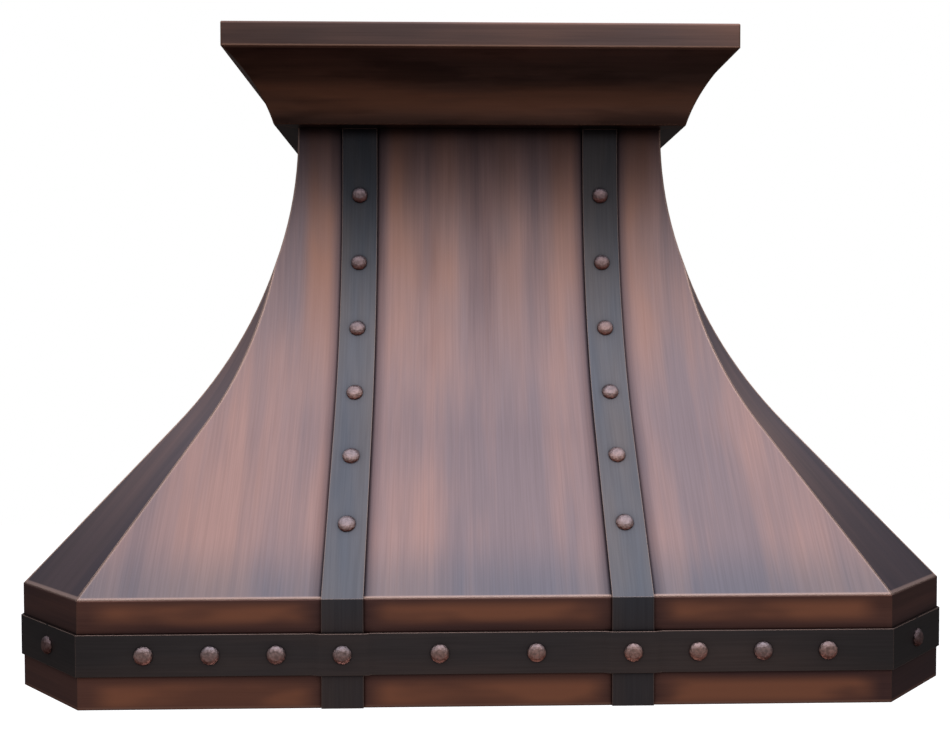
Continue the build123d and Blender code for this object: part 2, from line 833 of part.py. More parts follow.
def liner_screw_places():
    """Round the deck's edge, under the lower frame's ledge."""
    side_x = half_width - 29
    end_y = half_depth - 29
    places = [(x, y) for x in (-450, -150, 150, 450) for y in (-end_y, end_y)]
    return places + [(x, y) for x in (-side_x, side_x) for y in (-200, 0, 200)]


def liner_pan():
    """The stainless tray: a deck with openings, and a skirt down to the hem."""
    deck_low = deck_top - liner_sheet
    pan = octagon(-liner_inset, skirt_low, deck_top)
    pan -= octagon(-liner_inset - liner_sheet, skirt_low - 1, deck_low)
    half_x = filter_width / 2 + filter_gap
    half_y = filter_depth / 2 + filter_gap
    cut = (deck_low - 1, deck_top + 1)
    for x in filter_middles():
        pan -= block((x - half_x, x + half_x), (-half_y, half_y), cut)
    for x, y in light_places():
        pan -= rod(x, y, *cut, can_radius + 0.5)
    pan -= block((-module_half_x - 1, module_half_x + 1),
                 (-strip_y - module_half_y - 1, module_half_y + 1 - strip_y), cut)
    for x, y in liner_screw_places():
        pan -= rod(x, y, *cut, liner_screw_hole)
    ears = [filter_ear_plate(x + side * (half_x + filter_ear / 2))
            for x in filter_middles() for side in (-1, 1)]
    return fused([pan] + ears)


def pin_across(x, length, radius):
    """A round bar along X on the filters' hinge axis."""
    return Pos(x, filter_pin_y, filter_pin_height) * Rot(0, 90, 0) * Cylinder(radius, length)


def filter_ear_plate(x):
    """An ear under the deck with the hole for a filter's pin."""
    half = filter_pin_radius + 3
    ear = block((x - filter_ear / 2, x + filter_ear / 2),
                (filter_pin_y - half, filter_pin_y + half),
                (filter_pin_height - half, deck_top - liner_sheet / 2))
    return ear - pin_across(x, filter_ear + 2, filter_pin_radius + running_gap)


def baffle(x, opens_up):
    """One channel of a filter, along Y."""
    wall = 0.8
    half = baffle_width / 2
    run = (-filter_depth / 2 + filter_sheet, filter_depth / 2 - filter_sheet)
    if opens_up:
        low = filter_low + filter_sheet
        cavity = (low + wall, low + baffle_height + 1)
    else:
        low = filter_high - filter_sheet - baffle_height
        cavity = (low - 1, low + baffle_height - wall)
    channel = block((x - half, x + half), run, (low, low + baffle_height))
    return channel - block((x - half + wall, x + half - wall), (-far, far), cavity)


def baffle_filter(middle):
    """A frame of folded sheet, two staggered rows of channels, hinge pins and a pull."""
    half_x = filter_width / 2
    half_y = filter_depth / 2
    rim = filter_rim
    t = filter_sheet
    frame = block((-half_x, half_x), (-half_y, half_y), (filter_low, filter_high))
    frame -= block((t - half_x, half_x - t), (t - half_y, half_y - t),
                   (filter_low + t, filter_high - t))
    frame -= block((rim - half_x, half_x - rim), (rim - half_y, half_y - rim),
                   (filter_low - 1, filter_high + 1))
    pieces = [frame]
    for number in range(-3, 4):
        pieces.append(baffle(number * baffle_pitch, True))
    for number in range(-4, 4):
        pieces.append(baffle((number + 0.5) * baffle_pitch, False))
    pin_length = filter_rim
    for side in (-1, 1):
        tip = half_x + filter_gap + filter_ear + 1
        pieces.append(pin_across(side * (tip - pin_length / 2), pin_length, filter_pin_radius))
    pieces.append(filter_pull(-half_y + 30))
    return Pos(middle, 0, 0) * fused(pieces)


def filter_pull(y):
    """A small bar handle under the front of a filter."""
    plate = block((-30, 30), (y - 18, y + 4), (filter_low - 1.2, filter_low + 1.5))
    grip = Pos(0, y - 7, filter_low - 14) * Rot(0, 90, 0) * Cylinder(3, 52)
    legs = [rod(x, y - 7, filter_low - 14, filter_low, 2.5) for x in (-22, 22)]
    return fused([plate, grip] + legs)


def filter_catches():
    """A spring strip in front of each filter."""
    y = -filter_depth / 2 - 0.6
    top = deck_top - liner_sheet
    strips = []
    for x in filter_middles():
        strip = block((x - 12, x + 12), (y - 0.8, y), (top - 16, top))
        foot = block((x - 12, x + 12), (y - 14, y), (top - 0.8, top))
        strips.append(strip + foot)
    return group(strips)


def light_housing(x, y):
    """A closed can above the deck, with a bezel below it."""
    deck_low = deck_top - liner_sheet
    wall = 2.0
    bezel_low = deck_low - 2
    can = rod(x, y, bezel_low, deck_low + can_height, can_radius)
    can += rod(x, y, bezel_low, deck_low, bezel_radius)
    can -= rod(x, y, bezel_low + 1.2, deck_low + can_height - wall, can_radius - wall)
    return can - rod(x, y, bezel_low - 1, deck_low, can_radius - wall - 3)


def light_lens(x, y):
    low = deck_top - liner_sheet - 0.8
    return rod(x, y, low, low + 2.5, lens_radius)


def control_panel():
    high = deck_top - liner_sheet
    low = high - panel_thick
    plate = block((-panel_half_x, panel_half_x),
                  (-strip_y - panel_half_y, panel_half_y - strip_y), (low, high))
    plate = fillet(plate.edges().filter_by(Axis.Z), 6)
    for x in (-knob_x, knob_x):
        plate -= rod(x, -strip_y, low - 1, high + 1, knob_shaft_radius + 1)
    return plate


def control_module():
    """The fan and light control behind the panel, with a socket for each knob's shaft."""
    low = deck_top - liner_sheet
    module = block((-module_half_x, module_half_x),
                   (-strip_y - module_half_y, module_half_y - strip_y),
                   (low, low + module_height))
    for x in (-knob_x, knob_x):
        module -= rod(x, -strip_y, low - 1, low + 18, knob_shaft_radius + running_gap)
    return module


def control_knob(x):
    """A fluted knob that hangs under the panel, with its shaft and pointer rib."""
    top = deck_top - liner_sheet - panel_thick - knob_gap
    low = top - knob_height
    knob = rod(x, -strip_y, low, top, knob_radius)
    knob = chamfer(knob.edges().sort_by(Axis.Z)[0], 2)
    flutes = []
    for place in PolarLocations(knob_radius + 2.5, flute_count):
        flutes.append(Pos(x, -strip_y, low + 6) * place * Cylinder(4, knob_height))
    knob -= flutes
    knob += block((x - 1.2, x + 1.2), (-strip_y - knob_radius + 4, -strip_y - 4), (low - 1, low + 1))
    return knob + rod(x, -strip_y, top - 1, top + 16, knob_shaft_radius)


def junction_walls(outer, wall, low, high):
    """An upright-sided frame around the junction box's place, outer larger than the box."""
    x = junction_half_x + outer
    y = junction_half_y + outer
    walls = block((-x, x), (strip_y - y, strip_y + y), (low, high))
    return walls - block((wall - x, x - wall), (strip_y - y + wall, strip_y + y - wall),
                         (low - 1, high + 1))


def junction_box():
    """An open-topped box on the liner's back strip, with a cable entry."""
    top = deck_top + junction_height
    walls = junction_walls(0, junction_sheet, deck_top, top)
    floor = block((-junction_half_x, junction_half_x),
                  (strip_y - junction_half_y, strip_y + junction_half_y),
                  (deck_top, deck_top + junction_sheet))
    entry = (Pos(junction_half_x, strip_y, deck_top + junction_height / 2) * Rot(0, 90, 0)
             * Cylinder(cable_entry_radius, 10))
    return walls + floor - entry


def junction_cover():
    """The lid, with a lip down around the box."""
    low = deck_top + junction_height
    outer = 2.0
    lid = block((-junction_half_x - outer, junction_half_x + outer),
                (strip_y - junction_half_y - outer, strip_y + junction_half_y + outer),
                (low, low + cover_sheet))
    return lid + junction_walls(outer, cover_sheet, low - cover_lip, low + cover_sheet / 2)


def liner_screws():
    deck_low = deck_top - liner_sheet
    screws = []
    for x, y in liner_screw_places():
        head = rod(x, y, deck_low - 2.6, deck_low, liner_screw_head)
        head = fillet(head.edges().sort_by(Axis.Z)[0], 1.5)
        screws.append(head + rod(x, y, deck_low - 1, lower_frame_low + liner_screw_grip,
                                 liner_screw_radius))
    return group(screws)


def make_liner():
    pieces = {
        "liner_pan": liner_pan(),
        "filter_catches": filter_catches(),
        "light_housings": group(light_housing(x, y) for x, y in light_places()),
        "light_lenses": group(light_lens(x, y) for x, y in light_places()),
        "control_panel": control_panel(),
        "control_module": control_module(),
        "fan_knob": control_knob(-knob_x),
        "light_knob": control_knob(knob_x),
        "junction_box": junction_box(),
        "junction_cover": junction_cover(),
        "liner_screws": liner_screws(),
    }
    for number, middle in enumerate(filter_middles(), start=1):
        pieces[f"filter_{number}"] = baffle_filter(middle)
    return pieces


def main():
    os.makedirs("parts", exist_ok=True)
    places = all_rivet_places()
    rivets, rivet_holes = make_rivets(places)
    screw_holes = [rod(x, y, lower_frame_low - 1, lower_frame_low + angle_thick + 1,
                       liner_screw_hole)
                   for x, y in liner_screw_places()]
    copper = make_bell()
    copper.update(make_straps())
    for name, shape in copper.items():
        save(name, pierced(shape, rivet_holes))
    save("strap_rivets", rivets)
    steel = make_frame()
    steel["lower_frame"] -= screw_holes
    for pieces in (make_crown(), steel, make_duct(), make_blower(), make_liner()):
        for name, shape in pieces.items():
            save(name, shape)


main()
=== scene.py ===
import math
import random
import bmesh
import bpy
from mathutils import Matrix, Vector

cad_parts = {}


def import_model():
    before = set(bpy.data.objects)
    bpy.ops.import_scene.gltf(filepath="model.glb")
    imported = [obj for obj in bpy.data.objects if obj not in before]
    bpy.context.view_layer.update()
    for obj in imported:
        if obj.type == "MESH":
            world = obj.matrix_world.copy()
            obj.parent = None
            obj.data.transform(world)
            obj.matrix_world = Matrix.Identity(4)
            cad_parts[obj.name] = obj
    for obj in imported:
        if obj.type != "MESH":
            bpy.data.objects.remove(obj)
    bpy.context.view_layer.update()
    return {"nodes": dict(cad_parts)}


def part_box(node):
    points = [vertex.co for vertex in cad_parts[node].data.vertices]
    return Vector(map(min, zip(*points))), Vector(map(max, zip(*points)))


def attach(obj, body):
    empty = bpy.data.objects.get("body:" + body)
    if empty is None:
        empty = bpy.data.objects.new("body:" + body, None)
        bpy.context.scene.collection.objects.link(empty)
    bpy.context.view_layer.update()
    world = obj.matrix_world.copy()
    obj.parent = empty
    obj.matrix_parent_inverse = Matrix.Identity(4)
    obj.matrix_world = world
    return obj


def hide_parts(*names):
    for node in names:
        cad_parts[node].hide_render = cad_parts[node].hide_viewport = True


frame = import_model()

# ---- places taken from the frame, in metres ----

def span(node, axis):
    """The lowest and highest value of a node along an axis, 0 to 2."""
    low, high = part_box(node)
    return low[axis], high[axis]


def middle(node, axis):
    return sum(span(node, axis)) / 2


fascia_height = 0.036       # the crown's 35 mm flat band, and a little below it
hood_low, apron_top = span("apron_band", 2)
crown_low, ceiling = span("crown_front", 2)
fascia_low = ceiling - fascia_height
strap_inner, strap_outer = span("strap_front_right", 0)
front_strap_x = (strap_inner + strap_outer) / 2
strap_half = (strap_outer - strap_inner) / 2
base_low, base_high = span("base_strap_front", 2)
half_width = span("apron_band", 0)[1]
half_depth = span("apron_band", 1)[1]
front_end = span("front_panel", 0)[1]       # where the front's lower corners are, along X
side_end = span("left_panel", 1)[1]         # where the sides' lower corners are, along Y
corner_sum = half_width + side_end          # x + y, both taken positive, all over a corner cut
corner_middle = half_width - half_depth     # x - y, both taken positive, at a cut's middle

# How each kind of wall curves: the X and Y shares of the way it faces, its curve's radius in
# metres, how far it turns in degrees, and the height of the curve's centre.
WALLS = {
    "front": ((0.0, 1.0), 0.660, 39.0, -0.16159),
    "side": ((1.0, 0.0), 0.660, 41.1, -0.13335),
    "corner": ((0.7071, 0.7071), 0.572, 44.9, -0.16525),
}

# Streaks of rubbed copper (above 0) and smoky patina (below 0) that run down the neck: the
# middle along X, how far it reaches to each side, and how strong it is.
NECK_STREAKS = (
    (-0.236, 0.010, 0.70), (-0.155, 0.006, -0.55), (-0.113, 0.012, 0.75), (-0.080, 0.006, -0.60),
    (-0.055, 0.006, 0.40), (0.000, 0.010, -0.65), (0.040, 0.006, 0.35), (0.085, 0.010, -0.35),
    (0.125, 0.010, 0.50), (0.236, 0.010, 0.55),
)

# ---- node materials ----

probe_rays = 6              # rays for each look at a rounded edge or a shut corner


def fill_ramp(ramp, stops):
    """Set a colour ramp's stops, each a position and a colour."""
    while len(ramp.elements) < len(stops):
        ramp.elements.new(0.5)
    for element, (position, colour) in zip(ramp.elements, stops):
        element.position = position
        element.color = (*colour, 1.0)


class Paint:
    """A node material, made one step at a time."""

    def __init__(self, name, **surface):
        self.material = bpy.data.materials.new(name)
        self.material.use_nodes = True
        self.nodes = self.material.node_tree.nodes
        self.links = self.material.node_tree.links
        self.surface = self.nodes["Principled BSDF"]
        for socket, value in surface.items():
            self.feed(self.surface.inputs[socket.replace("_", " ")], value)

    def feed(self, socket, value):
        """Link a socket to another node's output, or set it to a constant."""
        if isinstance(value, bpy.types.NodeSocket):
            self.links.new(value, socket)
        elif isinstance(value, (tuple, list)) and len(value) == 3 and socket.type == "RGBA":
            socket.default_value = (*value, 1.0)
        else:
            socket.default_value = value

    def make(self, kind, *inputs, **settings):
        node = self.nodes.new("ShaderNode" + kind)
        for setting, value in settings.items():
            setattr(node, setting, value)
        for socket, value in zip(node.inputs, inputs):
            if value is not None:
                self.feed(socket, value)
        return node

    def place(self):
        """The point on the surface, in the frame's own metres."""
        return self.make("TexCoord").outputs["Object"]

    def axis(self, number):
        return self.make("SeparateXYZ", self.place()).outputs[number]

    def away(self, number):
        """How far the point is from the hood's middle along an axis."""
        return self.math("ABSOLUTE", self.axis(number))

    def math(self, operation, first, second=0.0):
        return self.make("Math", first, second, operation=operation).outputs[0]

    def times(self, *values):
        total = values[0]
        for value in values[1:]:
            total = self.math("MULTIPLY", total, value)
        return total

    def inverse(self, value):
        return self.math("SUBTRACT", 1.0, value)

    def ease(self, value, start, end, low=0.0, high=1.0):
        """A smooth step from low at start to high at end."""
        node = self.make("MapRange", value, start, end, low, high)
        node.interpolation_type = "SMOOTHSTEP"
        return node.outputs[0]

    def near(self, value, centre, reach, soft):
        """1 within reach of the centre, falling to 0 over the soft distance."""
        away = self.math("ABSOLUTE", self.math("SUBTRACT", value, centre))
        return self.ease(away, reach, reach + soft, 1.0, 0.0)

    def mix(self, factor, first, second, blend="MIX"):
        node = self.make("Mix", data_type="RGBA", blend_type=blend)
        self.feed(node.inputs[0], factor)
        self.feed(node.inputs[6], first)
        self.feed(node.inputs[7], second)
        return node.outputs[2]

    def shaded(self, colour, by):
        """The colour multiplied by another one, or by a number."""
        return self.mix(1.0, colour, by, "MULTIPLY")

    def toned(self, colour, amount, tone):
        """The colour multiplied towards a tone, by an amount from 0 to 1."""
        return self.mix(amount, colour, self.shaded(colour, tone))

    def ramp(self, factor, *stops):
        node = self.make("ValToRGB", factor)
        fill_ramp(node.color_ramp, stops)
        return node.outputs[0]

    def noise(self, scales, detail=3.0, rough=0.5, turn=0.0, seed=0.0):
        """Noise stretched along the axes that have a small scale, after a turn about Z."""
        point = self.place()
        if turn:
            point = self.make("VectorRotate", rotation_type="Z_AXIS")
            self.feed(point.inputs["Vector"], self.place())
            point.inputs["Angle"].default_value = math.radians(turn)
            point = point.outputs[0]
        scaled = self.make("VectorMath", point, scales, operation="MULTIPLY").outputs[0]
        moved = self.make("VectorMath", scaled, (seed, seed * 0.7, seed * 1.3), operation="ADD")
        texture = self.make("TexNoise")
        self.feed(texture.inputs["Vector"], moved.outputs[0])
        texture.inputs["Scale"].default_value = 1.0
        texture.inputs["Detail"].default_value = detail
        texture.inputs["Roughness"].default_value = rough
        return texture.outputs[0]

    def worn_edges(self, radius):
        """1 on the sharp outer edges of a piece, falling to 0 at radius from them."""
        rounded = self.make("Bevel", radius, samples=probe_rays).outputs[0]
        real = self.make("NewGeometry").outputs["Normal"]
        dot = self.make("VectorMath", rounded, real, operation="DOT_PRODUCT").outputs["Value"]
        return self.ease(dot, 0.985, 0.88)

    def occlusion_shaded(self, colour, reach=0.014, tone=(0.30, 0.29, 0.31)):
        """Painted shade by ambient occlusion in corners and beside other pieces, with the patina
        there.
        """
        open_sky = self.make("AmbientOcclusion", None, reach, samples=probe_rays).outputs["AO"]
        shut = self.ease(open_sky, 0.97, 0.62)
        return self.toned(colour, shut, tone)

    def wall_normal(self, wall):
        """The smooth normal that a wall of the bell has at this height."""
        shares, radius, turn, centre = WALLS[wall]
        rise = self.math("DIVIDE", self.math("SUBTRACT", centre, self.axis(2)), radius)
        rise = self.math("MINIMUM", self.math("MAXIMUM", rise, 0.0), math.sin(math.radians(turn)))
        out = self.math("SQRT", self.math("SUBTRACT", 1.0, self.times(rise, rise)))
        flat = self.make("SeparateXYZ", self.make("NewGeometry").outputs["True Normal"])
        level = [self.times(self.math("SIGN", flat.outputs[number]), out, share)
                 for number, share in enumerate(shares)]
        return self.make("CombineXYZ", *level, rise).outputs[0]

    def rounded_normal(self, rounding, wall=None):
        """The surface's normal with its sharp edges shaded round, and even along a wall."""
        rounded = self.make("Bevel", rounding, samples=probe_rays).outputs[0]
        if wall is None:
            return rounded
        smooth = self.wall_normal(wall)
        agree = self.make("VectorMath", rounded, smooth, operation="DOT_PRODUCT")
        even = self.ease(agree.outputs["Value"], 0.80, 0.90)
        blend = self.make("Mix", data_type="VECTOR")
        self.feed(blend.inputs[0], even)
        self.feed(blend.inputs[4], rounded)
        self.feed(blend.inputs[5], smooth)
        return self.make("VectorMath", blend.outputs[1], operation="NORMALIZE").outputs[0]

    def bump(self, height, strength, distance, rounding=0.0, wall=None):
        """Relief on the surface, with its sharp edges shaded round."""
        node = self.make("Bump")
        if rounding:
            self.feed(node.inputs["Normal"], self.rounded_normal(rounding, wall))
        node.inputs["Strength"].default_value = strength
        node.inputs["Distance"].default_value = distance
        self.feed(node.inputs["Height"], height)
        self.feed(self.surface.inputs["Normal"], node.outputs[0])

    def coat(self, colour, roughness=None):
        """Set the surface's colour and, where it varies, its roughness."""
        self.feed(self.surface.inputs["Base Color"], colour)
        if roughness is not None:
            self.feed(self.surface.inputs["Roughness"], roughness)


GRAINS = {
    "up_front": (1, 0, 0),
    "up_side": (0, 1, 0),
    "level": (0, 0, 1),
}


def stretched(grain, across, along):
    """Noise scales for brushing: across it, and along it."""
    return tuple(across if crosses else along for crosses in GRAINS[grain])


def copper(name, grain, cool, warm, worn, shade, turn=0.0, seed=0.0, edge=0.004, wear=0.8,
           wall=None, unworn_above=None):
    """Brushed copper under a patina that drifts from a cool tone to a warm one."""
    paint = Paint(name, Metallic=1.0)
    cloud = paint.noise(stretched(grain, 6.0, 1.6), 3.0, 0.55, turn, seed)
    streak = paint.noise(stretched(grain, 42.0, 1.8), 3.0, 0.6, turn, seed + 3)
    fine = paint.noise(stretched(grain, 520.0, 8.0), 2.0, 0.6, turn, seed + 7)
    drift = paint.math("ADD", paint.times(cloud, 0.75), paint.times(streak, 0.25))
    colour = paint.ramp(drift, (0.40, cool), (0.60, warm))
    brushing = paint.times(paint.ease(streak, 0.3, 0.7, 0.91, 1.07),
                           paint.ease(fine, 0.3, 0.7, 0.94, 1.05))
    # painted shade in corners and beside other pieces, with the patina there
    colour = paint.occlusion_shaded(shade(paint, paint.shaded(colour, brushing)))
    edges = paint.times(paint.worn_edges(edge), wear)
    if unworn_above is not None:
        height = paint.axis(2)
        edges = paint.times(edges, paint.ease(height, unworn_above, unworn_above - 0.004))
    colour = paint.mix(edges, colour, worn)
    paint.coat(colour, paint.ease(streak, 0.3, 0.7, copper_rough - 0.04, copper_rough + 0.05))
    paint.bump(fine, strength=0.06, distance=0.0003, rounding=edge, wall=wall)
    return paint.material


def rubbed_line(paint, colour, height, at, tone, amount):
    """A fine level line where an edge has been rubbed bright."""
    return paint.mix(paint.times(paint.near(height, at, 0.0012, 0.0016), amount), colour, tone)


def neck_streaks(paint, colour, height):
    """Streaks that run down the neck, broken up and fading out below it."""
    rubbed = (0.60, 0.30, 0.20)
    smoky = (0.50, 0.50, 0.54)
    neck = paint.ease(height, crown_low - 0.46, crown_low - 0.14)
    breaks = paint.ease(paint.noise((9.0, 9.0, 3.0), detail=2.0, seed=43.0), 0.36, 0.60, 0.25, 1.0)
    for middle_at, reach, amount in NECK_STREAKS:
        streak = paint.near(paint.axis(0), middle_at, reach, 0.022)
        streak = paint.times(neck, breaks, streak, abs(amount))
        if amount > 0:
            colour = paint.mix(streak, colour, rubbed)
        else:
            colour = paint.toned(colour, streak, smoky)
    return colour


def wall_shade(paint, colour, across, strap_x):
    """Painted shade beside the straps and under the crown, patchy at the neck, blue-grey at the
    foot.
    """
    strap_shadow = (0.45, 0.47, 0.52)
    strap_gap_shadow = (0.45, 0.45, 0.48)
    crown_shadow = (0.40, 0.385, 0.40)
    foot_tone = (0.70, 0.84, 0.92)
    foot_line = (0.74, 0.53, 0.48)
    height = paint.axis(2)
    colour = neck_streaks(paint, colour, height)
    beside = paint.near(across, strap_x, strap_half, 0.022)
    colour = paint.toned(colour, paint.times(beside, 0.8), strap_shadow)
    # a narrow painted shadow in the gap along each strap's edge
    close = paint.near(across, strap_x, strap_half + 0.001, 0.004)
    colour = paint.toned(colour, close, strap_gap_shadow)
    under = paint.ease(height, crown_low - 0.17, crown_low - 0.005)
    colour = paint.toned(colour, under, crown_shadow)
    foot = paint.ease(height, apron_top + 0.075, apron_top + 0.004)
    colour = paint.toned(colour, foot, foot_tone)
    return rubbed_line(paint, colour, height, apron_top + 0.001, foot_line, 0.55)


def front_shade(paint, colour):
    return wall_shade(paint, colour, paint.away(0), front_strap_x)


def side_shade(paint, colour):
    return wall_shade(paint, colour, paint.axis(1), 0.0)


def corner_shade(paint, colour):
    """Blue-grey towards the foot."""
    foot_tone = (0.50, 0.54, 0.62)
    foot_line = (0.60, 0.42, 0.38)
    height = paint.axis(2)
    foot = paint.ease(height, apron_top + 0.25, apron_top + 0.01)
    colour = paint.toned(colour, foot, foot_tone)
    return rubbed_line(paint, colour, height, apron_top + 0.002, foot_line, 0.7)


def clear_of_straps(paint, across, along):
    """1 where the apron is clear of the upright straps and the corners, 0 by them, leaving painted
    shade.
    """
    front = paint.inverse(paint.near(across, front_strap_x, strap_half, 0.035))
    front = paint.times(front, paint.ease(across, front_end - 0.012, front_end - 0.050))
    side = paint.times(paint.ease(along, strap_half, strap_half + 0.035),
                       paint.ease(along, side_end - 0.012, side_end - 0.050))
    on_side = paint.ease(across, half_width - 0.02, half_width - 0.005)
    return paint.math("ADD", paint.times(front, paint.inverse(on_side)),
                      paint.times(side, on_side))


def apron_shade(paint, colour):
    """Burnish and painted light along each visible stretch's middle, painted shade by the straps
    and edges; blue-grey on the corner cuts.
    """
    burnish_and_light = (0.80, 0.34, 0.205)
    corner_tone = (0.60, 0.74, 0.95)
    rim_line = (0.62, 0.34, 0.26)
    height = paint.axis(2)
    across = paint.away(0)
    along = paint.away(1)
    upper = paint.near(height, (base_high + apron_top) / 2 + 0.003, 0.003, 0.017)
    lower = paint.near(height, (base_low + hood_low) / 2 - 0.004, 0.006, 0.017)
    patch = paint.noise((7.0, 7.0, 25.0), detail=2.0, seed=21.0)
    # the bright band is burnish and painted light; where it fades, by the straps and each
    # stretch's edges, is painted shade
    lit_burnish = paint.times(paint.math("ADD", upper, lower), clear_of_straps(paint, across, along))
    lit_burnish = paint.times(lit_burnish, paint.ease(patch, 0.35, 0.6, 0.35, 1.0))
    colour = paint.mix(paint.times(lit_burnish, 0.9), colour, burnish_and_light)
    cut = paint.ease(paint.math("ADD", across, along), corner_sum - 0.004, corner_sum)
    colour = paint.toned(colour, cut, corner_tone)
    return rubbed_line(paint, colour, height, hood_low + 0.0015, rim_line, 0.6)


def crown_shade(paint, colour):
    """Dark in the cove, with a redder band rubbed along its lower part."""
    fascia_tone = (0.98, 0.90, 0.84)
    cove_tone = (0.80, 0.62, 0.50)
    smoke_tone = (0.55, 0.55, 0.58)
    band_red = (0.60, 0.26, 0.15)
    foot_tone = (0.55, 0.58, 0.62)
    fascia_line = (0.72, 0.42, 0.31)
    height = paint.axis(2)
    cove = paint.inverse(paint.ease(height, fascia_low, fascia_low + 0.003))
    # darker towards the crown's left end, lighter towards its right end
    left_to_right_ramp = paint.ease(paint.axis(0), -0.42, 0.30, 0.74, 1.16)
    colour = paint.shaded(colour, left_to_right_ramp)
    colour = paint.mix(cove, paint.shaded(colour, fascia_tone), paint.shaded(colour, cove_tone))
    smoke = paint.ease(paint.noise((5.0, 5.0, 30.0), rough=0.55, seed=73.0), 0.42, 0.62)
    colour = paint.toned(colour, paint.times(cove, smoke, 0.8), smoke_tone)
    patch = paint.ease(paint.noise((4.0, 4.0, 34.0), seed=87.0), 0.38, 0.6, 0.3, 1.0)
    band = paint.near(height, crown_low + 0.036, 0.004, 0.024)
    colour = paint.mix(paint.times(band, patch, 0.46), colour, band_red)
    foot = paint.ease(height, crown_low + 0.016, crown_low + 0.002)
    colour = paint.toned(colour, foot, foot_tone)
    return rubbed_line(paint, colour, height, fascia_low + 0.0015, fascia_line, 0.7)


panel_cool = (0.335, 0.262, 0.285)
panel_warm = (0.505, 0.322, 0.296)
corner_cool = (0.200, 0.160, 0.190)
corner_warm = (0.300, 0.205, 0.205)
apron_cool = (0.225, 0.125, 0.120)
apron_warm = (0.370, 0.180, 0.140)
crown_cool = (0.27, 0.200, 0.200)
crown_warm = (0.46, 0.280, 0.235)
strap_cool = (0.145, 0.155, 0.185)
strap_warm = (0.205, 0.190, 0.200)
base_cool = (0.155, 0.160, 0.182)
base_warm = (0.212, 0.194, 0.204)
pale_worn = (0.74, 0.53, 0.46)
seam_worn = (0.98, 0.68, 0.56)
red_worn = (0.66, 0.34, 0.22)
copper_rough = 0.40
seam_reach = 0.0045         # how far the wear spreads from the seams of the front, back and sides


def strap_metal(name, grain, seed, cool, warm, wall=None):
    """Blackened copper, browner on the apron, with a fine light line along its edges."""
    crown_shadow = (0.48, 0.48, 0.48)
    apron_tone = (0.98, 0.86, 0.79)
    end_tone = (0.72, 0.74, 0.74)
    edge_line = (0.54, 0.38, 0.33)
    paint = Paint(name, Metallic=1.0)
    cloud = paint.noise(stretched(grain, 14.0, 2.5), rough=0.55, seed=seed)
    fine = paint.noise(stretched(grain, 420.0, 10.0), detail=2.0, rough=0.6, seed=seed + 7)
    colour = paint.ramp(cloud, (0.38, cool), (0.62, warm))
    colour = paint.shaded(colour, paint.ease(fine, 0.3, 0.7, 0.93, 1.06))
    under = paint.ease(paint.axis(2), crown_low - 0.34, crown_low - 0.04)
    colour = paint.toned(colour, under, crown_shadow)
    on_apron = paint.ease(paint.axis(2), apron_top + 0.01, apron_top - 0.05)
    colour = paint.toned(colour, on_apron, apron_tone)
    colour = paint.toned(colour, paint.ease(paint.away(0), 0.28, 0.60), end_tone)
    # painted shade in corners and around the rivets, with the patina there
    colour = paint.occlusion_shaded(colour)
    difference = paint.math("SUBTRACT", paint.away(0), paint.away(1))
    butt_joint = paint.near(difference, corner_middle, 0.003, 0.002)
    edges = paint.times(paint.worn_edges(0.0022), paint.inverse(butt_joint), 0.75)
    colour = paint.mix(edges, colour, edge_line)
    paint.coat(colour, paint.ease(cloud, 0.3, 0.7, 0.33, 0.40))
    paint.bump(fine, strength=0.05, distance=0.0003, rounding=0.0015, wall=wall)
    return paint.material


def hammered_copper(name):
    """Rivet heads: greyer facing up and redder facing down, as painted light, bright on the
    facets' edges.
    """
    up_facing_painted_shade = (0.64, 0.74, 0.84)
    down_facing_painted_glow = (1.15, 0.74, 0.65)
    crown_shadow = (0.48, 0.50, 0.56)
    corner_tone = (0.40, 0.38, 0.40)
    edge_line = (0.90, 0.70, 0.62)
    paint = Paint(name, Metallic=1.0)
    spots = paint.noise((260.0, 260.0, 260.0), rough=0.6, seed=2.0)
    tint = paint.noise((11.0, 11.0, 11.0), detail=1.0, seed=5.0)
    colour = paint.ramp(tint, (0.38, (0.74, 0.54, 0.52)), (0.62, (0.90, 0.58, 0.51)))
    colour = paint.shaded(colour, paint.ease(spots, 0.35, 0.65, 0.72, 1.14))
    facing = paint.make("SeparateXYZ", paint.make("NewGeometry").outputs["Normal"]).outputs[2]
    # painted light by the way each facet faces: darker, greyer shade facing up and a redder glow
    # facing down
    colour = paint.toned(colour, paint.ease(facing, 0.05, 0.7), up_facing_painted_shade)
    colour = paint.toned(colour, paint.ease(facing, 0.1, -0.5), down_facing_painted_glow)
    under = paint.ease(paint.axis(2), crown_low - 0.45, crown_low - 0.10)
    colour = paint.toned(colour, under, crown_shadow)
    total = paint.math("ADD", paint.away(0), paint.away(1))
    on_corner = paint.ease(total, corner_sum - 0.020, corner_sum - 0.012)
    colour = paint.toned(colour, on_corner, corner_tone)
    colour = paint.mix(paint.times(paint.worn_edges(0.0012), 0.6), colour, edge_line)
    paint.coat(colour, paint.ease(spots, 0.3, 0.7, 0.42, 0.54))
    paint.bump(spots, strength=0.20, distance=0.0006, rounding=0.0008)
    return paint.material


def steel(name, grain, tone, rough, seed=0.0):
    """Brushed or rolled sheet steel."""
    paint = Paint(name, Metallic=1.0)
    cloud = paint.noise(stretched(grain, 9.0, 2.0), rough=0.55, seed=seed)
    streak = paint.noise(stretched(grain, 90.0, 3.0), rough=0.6, seed=seed + 3)
    fine = paint.noise(stretched(grain, 620.0, 9.0), detail=2.0, rough=0.6, seed=seed + 7)
    darker = tuple(value * 0.90 for value in tone)
    colour = paint.ramp(cloud, (0.35, darker), (0.65, tone))
    colour = paint.shaded(colour, paint.ease(fine, 0.3, 0.7, 0.93, 1.05))
    paint.coat(colour, paint.ease(streak, 0.3, 0.7, rough - 0.04, rough + 0.08))
    paint.bump(fine, strength=0.06, distance=0.0003)
    return paint.material


